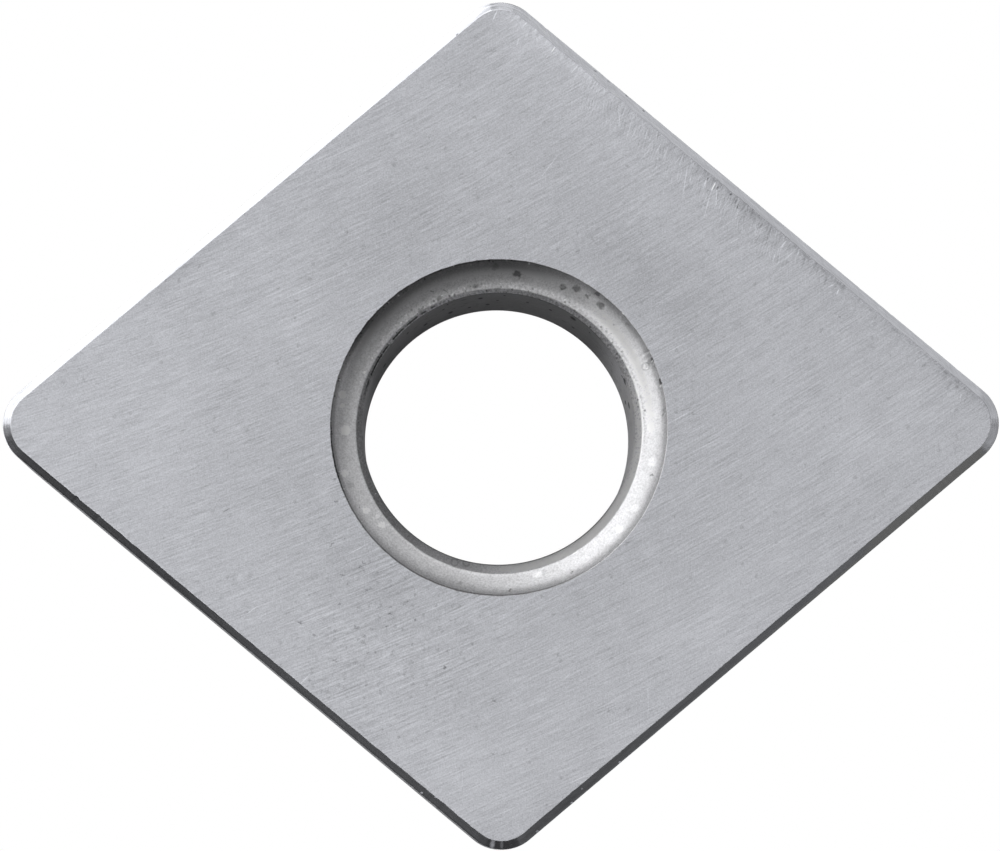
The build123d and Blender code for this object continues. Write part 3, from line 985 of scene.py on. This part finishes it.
# stains on the pressed skin of the hole: (x, y, half length, half width, turn, weight)
DARK_SPOTS = [
    (-0.105, 3.005, 0.095, 0.070, 5, -0.20), (0.313, 2.873, 0.105, 0.082, -10, -0.50),
    (1.183, 2.624, 0.085, 0.060, -30, -0.36), (1.438, 2.581, 0.095, 0.070, -25, -0.45),
    (1.641, 2.438, 0.055, 0.045, 0, -0.40), (1.828, 2.466, 0.060, 0.045, -40, -0.42),
    (1.898, 2.276, 0.115, 0.070, -50, -0.45), (-1.183, 2.414, 0.080, 0.055, 30, -0.36),
    (-0.479, 2.641, 0.080, 0.050, 10, -0.32), (-1.526, 2.186, 0.080, 0.050, 40, -0.34),
    (-1.297, 2.542, 0.040, 0.030, 0, -0.35), (-1.050, 2.560, 0.060, 0.018, -30, -0.30),
    (0.159, -3.152, 0.045, 0.035, 0, -0.40), (1.338, -2.807, 0.040, 0.032, 0, -0.45),
    (2.845, -0.968, 0.040, 0.032, 60, -0.40), (-0.776, -3.015, 0.060, 0.045, 0, -0.18),
    (-2.857, -1.133, 0.090, 0.070, 0, -0.14), (2.816, 1.173, 0.100, 0.060, 60, -0.20),
    (2.880, 1.230, 0.045, 0.030, 60, -0.45), (3.025, 0.815, 0.085, 0.045, 80, -0.55),
    (3.075, 0.20, 0.110, 0.022, 88, -0.30), (2.40, 1.90, 0.060, 0.030, -40, -0.18),
]
LIGHT_SPOTS = [
    (-3.007, 0.576, 0.090, 0.085, 0, 0.26), (-3.007, 0.369, 0.055, 0.050, 0, 0.26),
    (-2.946, -0.097, 0.115, 0.100, 80, 0.32), (-2.973, -0.917, 0.090, 0.080, 0, 0.20),
    (-2.558, -1.624, 0.090, 0.075, 0, 0.17), (-2.347, -1.735, 0.055, 0.048, 0, 0.16),
    (-2.258, -1.888, 0.095, 0.080, 0, 0.20), (2.836, -0.049, 0.095, 0.080, 80, 0.18),
    (2.864, -0.719, 0.125, 0.095, 75, 0.13), (2.543, -1.589, 0.100, 0.085, 50, 0.13),
    (2.239, -1.995, 0.095, 0.080, 40, 0.18), (0.678, -2.842, 0.120, 0.065, 15, 0.22),
    (0.358, -2.696, 0.090, 0.060, 5, 0.26), (1.369, -2.384, 0.100, 0.085, 25, 0.42),
]
RING_SPOTS = [(2.743, 1.099, 0.085), (-0.889, -2.599, 0.080), (-0.661, -2.613, 0.080),
              (1.369, -2.384, 0.090), (1.183, 2.624, 0.060)]
FLECKS = [
    (-2.591, 1.005, 0.030, 0.022, 70, 0.55), (-2.537, 0.620, 0.026, 0.020, 80, 0.45),
    (-2.623, -0.142, 0.028, 0.022, 90, 0.50), (-2.386, -1.290, 0.026, 0.020, 60, 0.45),
    (-0.528, -2.602, 0.026, 0.020, 0, 0.40), (2.604, 0.041, 0.026, 0.022, 90, 0.50),
    (2.638, -0.481, 0.036, 0.022, 90, 0.55), (2.512, -1.000, 0.030, 0.022, 70, 0.45),
    (1.500, 1.854, 0.026, 0.022, 0, 0.45), (2.503, 0.419, 0.028, 0.024, 90, 0.60),
    (2.720, 1.090, 0.036, 0.016, 60, 0.50), (2.770, 1.060, 0.030, 0.014, 20, 0.45),
    (3.040, 0.880, 0.026, 0.020, 0, 0.90), (0.539, 3.050, 0.024, 0.020, 0, 0.90),
    (-1.941, 2.447, 0.024, 0.020, 0, 0.60), (-2.131, 2.312, 0.022, 0.018, 0, 0.60),
    (2.311, 2.094, 0.034, 0.016, -40, 0.80), (2.864, 1.187, 0.030, 0.018, 60, 0.70),
    (3.021, 0.713, 0.028, 0.018, 80, 0.70),
]


def sintered(name, base):
    g = Net(name)
    plan = g.uv("Plan")
    tc = g.node("ShaderNodeTexCoord")
    pos = g.vmath("MULTIPLY", tc.outputs["Object"], (1000.0, 1000.0, 1000.0))
    z = g.split(pos)[2]
    near_top = g.math("GREATER_THAN", z, T / 2)
    mott = g.add(g.swing(pos, 0.14, scale=1.6, detail=2.0, rough=0.6),
                 g.swing(pos, 0.20, scale=7.0, detail=1.0, rough=0.6),
                 g.swing(pos, 0.62, scale=28.0, detail=1.0, rough=0.6))
    off = g.vmath("SUBTRACT", plan, (float(RIM_OFF[0]), float(RIM_OFF[1]), 0.0))
    r = g.vmath("LENGTH", off)
    facing = g.math("DIVIDE", g.side(off, 110.0), r)
    right = g.math("DIVIDE", g.side(off, 35.0), r)
    # painted shade: the steep part of the mouth is darker on its upper side
    shade = g.mul(g.ramp(g.math("MULTIPLY_ADD", mott, 0.2, r), 2.93, 3.10), g.ramp(facing, 0.60, 0.95), -0.66)
    # painted light: the lip is lighter on its lower right side
    painted_lip_light = g.mul(g.ramp(r, 2.72, 2.76, 1.0, 0.0), g.ramp(g.math("DIVIDE", g.side(off, 325.0), r), 0.35, 0.8), 0.42)
    # loose grains and pores along the inner edge, most of them above and to the right
    edge = g.vmath("LENGTH", g.vmath("SUBTRACT", plan, (float(DISH_OFF[0]), float(DISH_OFF[1]), 0.0)))
    inner = g.ramp(edge, 2.76, 2.92, 1.0, 0.0)
    upper = g.ramp(g.math("MAXIMUM", facing, g.math("DIVIDE", g.side(off, 50.0), r)), 0.45, 0.85, 0.12, 1.0)
    specks = g.mul(g.add(g.pits(plan, 10.0, 0.036, 0.30, -0.45, 3, flat=True),
                         g.pits(plan, 9.0, 0.030, 0.35, 0.42, 7, flat=True),
                         g.swing(plan, 0.55, scale=18.0, detail=1.0, flat=True)), inner, upper)
    # the lip is darker on the left and a little on the right, and scuffed all round
    on_lip = g.ramp(edge, 2.700, 2.722, 1.0, 0.0)
    lip_tone = g.mul(on_lip, g.add(g.mul(g.ramp(g.math("DIVIDE", g.side(off, 185.0), r), 0.45, 0.90), -0.40),
                                   g.mul(g.ramp(g.math("DIVIDE", g.side(off, 5.0), r), 0.85, 0.98), -0.16),
                                   g.mul(g.swing(plan, 0.85, scale=22.0, detail=1.0, flat=True),
                                         g.ramp(g.math("DIVIDE", g.side(off, 55.0), r), -0.75, 0.2, 0.35, 1.0))))
    # painted light: the dish is lighter on its right side
    painted_dish_light = g.mul(g.ramp(edge, 2.76, 2.84), g.ramp(r, 2.92, 3.04, 1.0, 0.0),
                g.ramp(g.math("DIVIDE", g.side(off, 24.0), r), 0.80, 0.97), 0.28)
    pores = g.add(g.pits(pos, 5.0, 0.032, 0.22, -0.35, 11), g.pits(pos, 6.0, 0.026, 0.18, 0.20, 17))
    rag = g.warped(plan, 16.0, 0.035)
    soft = g.warped(plan, 16.0, 0.014)
    rings_ = None
    for x, y, size in RING_SPOTS:
        q = g.math("ABSOLUTE", g.math("SUBTRACT", g.vmath("DISTANCE", plan, (x, y, 0.0)), size * 0.8))
        q = g.mul(g.ramp(q, 0.006, 0.024, 1.0, 0.0), -0.20)
        rings_ = q if rings_ is None else g.add(rings_, q)
    spots = g.mul(g.add(g.mul(g.marks(rag, DARK_SPOTS, 2.2), 1.25), g.mul(g.marks(soft, LIGHT_SPOTS, 2.4), 1.5),
                        g.mul(g.marks(plan, FLECKS, 2.0), 2.0), rings_), near_top)
    low_left = g.math("DIVIDE", g.side(off, 238.0), r)
    line = g.mul(g.ramp(r, 3.162, 3.176), g.ramp(low_left, 0.30, 0.70, 0.15, 1.0), -0.52)
    # crumbs and tiny chips along the rim
    rim_band = g.mul(g.ramp(r, 3.10, 3.17), g.ramp(g.math("DIVIDE", g.side(off, 150.0), r), 0.0, 0.8, 0.25, 1.0))
    crumbs = g.mul(g.add(g.pits(plan, 14.0, 0.030, 0.45, -0.50, 13, flat=True),
                         g.pits(plan, 12.0, 0.026, 0.22, 0.90, 19, flat=True)), rim_band)
    # painted shade: the outer band of the mouth is darker on its left side; right_rim darkens its outer band on the
    # right
    leftward = g.math("DIVIDE", g.side(off, 172.0), r)
    painted_left_rim_shade = g.mul(g.ramp(r, 3.085, 3.15), g.ramp(leftward, 0.78, 0.93), -0.36)
    right_rim = g.mul(g.ramp(r, 3.05, 3.14), g.ramp(right, 0.70, 0.90), -0.20)
    # painted shade: the dish is darker on its upper side and a little on its lower side
    on_dish = g.ramp(edge, 2.74, 2.78)
    painted_dish_shade = g.mul(g.add(g.mul(g.ramp(facing, 0.55, 0.95), -0.15),
                       g.mul(g.ramp(g.math("DIVIDE", g.side(off, 255.0), r), 0.60, 0.95), -0.09)), on_dish)
    level = g.add(1.0, mott, g.mul(g.add(specks, painted_lip_light, lip_tone, painted_dish_light, crumbs, painted_dish_shade), near_top), pores)
    # a thin dark line along the top of the bore on its upper left
    rb = g.vmath("LENGTH", g.vmath("SUBTRACT", plan, (float(BORE_OFF[0]), float(BORE_OFF[1]), 0.0)))
    bore_edge_line = g.mul(g.ramp(g.math("ABSOLUTE", g.math("SUBTRACT", rb, 2.622)), 0.006, 0.020, 1.0, 0.0),
                  g.ramp(g.math("DIVIDE", g.side(off, 140.0), r), 0.88, 0.95),
                  g.ramp(g.noise(plan, scale=6.0, detail=1.0, flat=True), 0.34, 0.50), -0.80)
    level = g.mul(level, g.add(1.0, g.mul(g.add(shade, line, painted_left_rim_shade, right_rim, bore_edge_line), near_top)), g.add(1.0, spots))
    level = g.math("MAXIMUM", level, 0.05)
    height = g.noise(pos, scale=20.0, detail=1.0, rough=0.6)
    return g.metal(g.tint(g.mul(level, base), (1.0, 1.0, 1.02)), 0.48, height, 0.5, 3e-6)


# dark grains on the bore: (angle, depth below the top face, size mm)
BORE_GRAINS = [
    (97.3, 1.34, 0.09), (111.8, 0.79, 0.05), (122.5, 2.68, 0.10), (147.7, 2.65, 0.10),
    (94.0, 2.79, 0.08), (87.1, 0.91, 0.05), (101.9, 2.89, 0.07), (110.4, 2.78, 0.10),
    (113.7, 1.50, 0.06), (89.9, 2.01, 0.06), (77.0, 1.71, 0.06), (66.7, 1.72, 0.07),
    (56.1, 1.00, 0.14), (55.1, 2.72, 0.07), (47.0, 1.19, 0.05), (20.8, 0.78, 0.13),
    (23.3, 0.90, 0.06), (11.9, 1.80, 0.13), (15.0, 2.87, 0.09), (132.0, 1.60, 0.06),
]


def bore_skin(name, base):
    g = Net(name)
    tc = g.node("ShaderNodeTexCoord")
    pos = g.vmath("MULTIPLY", tc.outputs["Object"], (1000.0, 1000.0, 1000.0))
    x, y, z = g.split(g.vmath("SUBTRACT", pos, (float(BORE_OFF[0]), float(BORE_OFF[1]), 0.0)))
    angle = g.math("ARCTAN2", y, x)
    wall = g.join(g.mul(angle, BORE_R), g.math("SUBTRACT", T, z))
    mott = g.add(g.swing(pos, 0.22, scale=1.1, detail=2.0, rough=0.6),
                 g.swing(pos, 0.32, scale=5.0, detail=2.0, rough=0.6),
                 g.swing(pos, 0.50, scale=18.0, detail=1.0, rough=0.6))
    grains = g.marks(wall, [(rad(a) * BORE_R, d, 0.60 * s, 2.2 * s, 0.0, -0.90) for a, d, s in BORE_GRAINS], 2.4)
    grains = g.add(grains, g.pits(pos, 4.2, 0.085, 0.40, -0.65, 5), g.pits(pos, 6.0, 0.045, 0.15, 0.60, 9))
    level = g.math("MAXIMUM", g.add(1.0, mott, grains), 0.06)
    # painted light: the bore wall is lighter on its right side and a little on its left
    lit = g.math("DIVIDE", x, BORE_R)
    level = g.mul(level, g.add(1.0, g.ramp(lit, 0.70, 0.96, 0.0, 1.9), g.ramp(lit, -0.90, -0.99, 0.0, 0.7)))
    height = g.noise(pos, scale=14.0, detail=1.0, rough=0.6)
    return g.metal(g.tint(g.mul(level, base), (1.0, 1.0, 1.03)), 0.50, height, 0.6, 4e-6)


# painted shade: the bore's skin has base colour 0.34 against the mouth's 0.80, darkening the inside of the hole
MATS = [ground_face("face_ground", 0.577, 0.0, "plain"), land("land_ground", 0.82),
        flank("flank_ground", 0.56), sintered("hole_sintered", 0.80),
        ground_face("seat_ground", 0.54, 40.0, "seat"), bore_skin("bore_sintered", 0.34),
        ground_face("face_pitted", 0.577, 0.0, "pitted"), ground_face("face_edge", 0.577, 0.0, "strip")]
for m in MATS:
    mesh.materials.append(m)

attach(body, "root")
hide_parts("insert_body")

# ---------------------------------------------------------------------------
# floor, light and camera
# ---------------------------------------------------------------------------
scene = bpy.context.scene
scene.view_settings.view_transform = "Standard"
scene.view_settings.look = "None"
scene.view_settings.exposure = 0.0
scene.view_settings.gamma = 1.0

floor_mesh = bpy.data.meshes.new("floor")
h = 3.0
floor_mesh.from_pydata([(-h, -h, 0), (h, -h, 0), (h, h, 0), (-h, h, 0)], [], [(0, 1, 2, 3)])
floor = bpy.data.objects.new("floor", floor_mesh)
floor.location = (0, 0, -0.00001)
scene.collection.objects.link(floor)
g = Net("floor_pale")
lp = g.node("ShaderNodeLightPath")
tc = g.node("ShaderNodeTexCoord")
away = g.vmath("LENGTH", tc.outputs["Object"])
em = g.node("ShaderNodeEmission")
em.inputs[0].default_value = (1, 1, 1, 1)
g.put(em.inputs[1], g.ramp(away, 0.015, 0.050, 1.0, 0.62))
di = g.node("ShaderNodeBsdfDiffuse")
di.inputs[0].default_value = (0.6, 0.6, 0.6, 1)
mix = g.node("ShaderNodeMixShader")
g.put(mix.inputs[0], lp.outputs["Is Camera Ray"])
g.put(mix.inputs[1], di.outputs[0])
g.put(mix.inputs[2], em.outputs[0])
out = g.node("ShaderNodeOutputMaterial")
g.put(out.inputs[0], mix.outputs[0])
floor_mesh.materials.append(g.mat)

world = bpy.data.worlds.new("studio")
scene.world = world
world.use_nodes = True
wt = world.node_tree
wt.nodes.clear()
w_lp = wt.nodes.new("ShaderNodeLightPath")
w_cam = wt.nodes.new("ShaderNodeBackground")
w_cam.inputs[0].default_value = (1, 1, 1, 1)
w_cam.inputs[1].default_value = 0.62
w_fill = wt.nodes.new("ShaderNodeBackground")
w_fill.inputs[0].default_value = (1, 1, 1, 1)
w_fill.inputs[1].default_value = 0.02
w_mix = wt.nodes.new("ShaderNodeMixShader")
w_out = wt.nodes.new("ShaderNodeOutputWorld")
wt.links.new(w_lp.outputs["Is Camera Ray"], w_mix.inputs[0])
wt.links.new(w_fill.outputs[0], w_mix.inputs[1])
wt.links.new(w_cam.outputs[0], w_mix.inputs[2])
wt.links.new(w_mix.outputs[0], w_out.inputs[0])


def softbox(name, azimuth, elevation, distance, width, height, radiance, spread=180.0):
    """A soft rectangular light at that direction from the insert's top, facing it.
    Azimuth anticlockwise from +X. radiance is what a mirror would show."""
    a, e = rad(azimuth), rad(elevation)
    d = np.array([math.cos(a) * math.cos(e), math.sin(a) * math.cos(e), math.sin(e)])
    data = bpy.data.lights.new(name, "AREA")
    data.shape = "RECTANGLE"
    data.size, data.size_y = width, height
    data.energy = radiance * math.pi * width * height
    ob = bpy.data.objects.new(name, data)
    z = d
    x = np.array([-math.sin(a), math.cos(a), 0.0])
    y = np.cross(z, x)
    m = Matrix([(x[i], y[i], z[i], d[i] * distance + (T * MM if i == 2 else 0)) for i in range(3)] + [(0, 0, 0, 1)])
    ob.matrix_world = m
    ob.visible_camera = False
    scene.collection.objects.link(ob)
    return ob


softbox("overhead_box", 90, 90, 0.5, 0.36, 0.36, 0.84)
softbox("overhead_left_box", 206, 64, 0.5, 0.16, 0.14, 2.2)
softbox("key_box", 138, 49, 0.5, 0.54, 0.26, 1.32)
softbox("key_hot_box", 150, 50, 0.5, 0.20, 0.18, 0.84)
softbox("key_mid_box", 139, 26, 0.5, 0.66, 0.15, 1.1)
softbox("key_low_box", 186, 7, 0.5, 0.34, 0.18, 2.4)
softbox("key_wide_box", 121, 7, 0.5, 0.76, 0.18, 2.1)
softbox("back_box", 88, 42, 0.5, 0.24, 0.34, 0.67)
softbox("side_box", 41, 39, 0.5, 0.50, 0.50, 0.49)
softbox("right_box", 327, 38, 0.5, 0.48, 0.18, 0.085)
softbox("right_mid_box", 349, 38, 0.5, 0.30, 0.18, 0.24)
softbox("left_box", 226, 40, 0.5, 0.26, 0.18, 0.030)
softbox("left_near_box", 185, 40, 0.5, 0.08, 0.18, 0.20)
softbox("left_low_box", 214, 21, 0.5, 0.34, 0.16, 0.75)
softbox("right_low_box", 48, 9, 0.5, 0.46, 0.14, 0.7)
softbox("front_box", 268, 44, 0.5, 0.60, 0.26, 0.014)
softbox("front_low_box", 270, 16, 0.5, 1.00, 0.10, 0.34)

cam_data = bpy.data.cameras.new("camera")
cam_data.sensor_width = 36.0
cam_data.lens = 218.716
cam_data.clip_start, cam_data.clip_end = 0.005, 20.0
cam = bpy.data.objects.new("camera", cam_data)
scene.collection.objects.link(cam)
rx, ry, rz = rad(-3.989), rad(0.53), rad(0.107)
Rx = np.array([[1, 0, 0], [0, math.cos(rx), -math.sin(rx)], [0, math.sin(rx), math.cos(rx)]])
Ry = np.array([[math.cos(ry), 0, math.sin(ry)], [0, 1, 0], [-math.sin(ry), 0, math.cos(ry)]])
Rz = np.array([[math.cos(rz), -math.sin(rz), 0], [math.sin(rz), math.cos(rz), 0], [0, 0, 1]])
R = Rz @ Ry @ Rx
loc = np.array([0, 0, T]) + R.T @ np.array([-0.0231, -0.0326, 115.0])
W = R.T
cam.matrix_world = Matrix([(W[i, 0], W[i, 1], W[i, 2], loc[i] * MM) for i in range(3)] + [(0, 0, 0, 1)])
scene.camera = cam
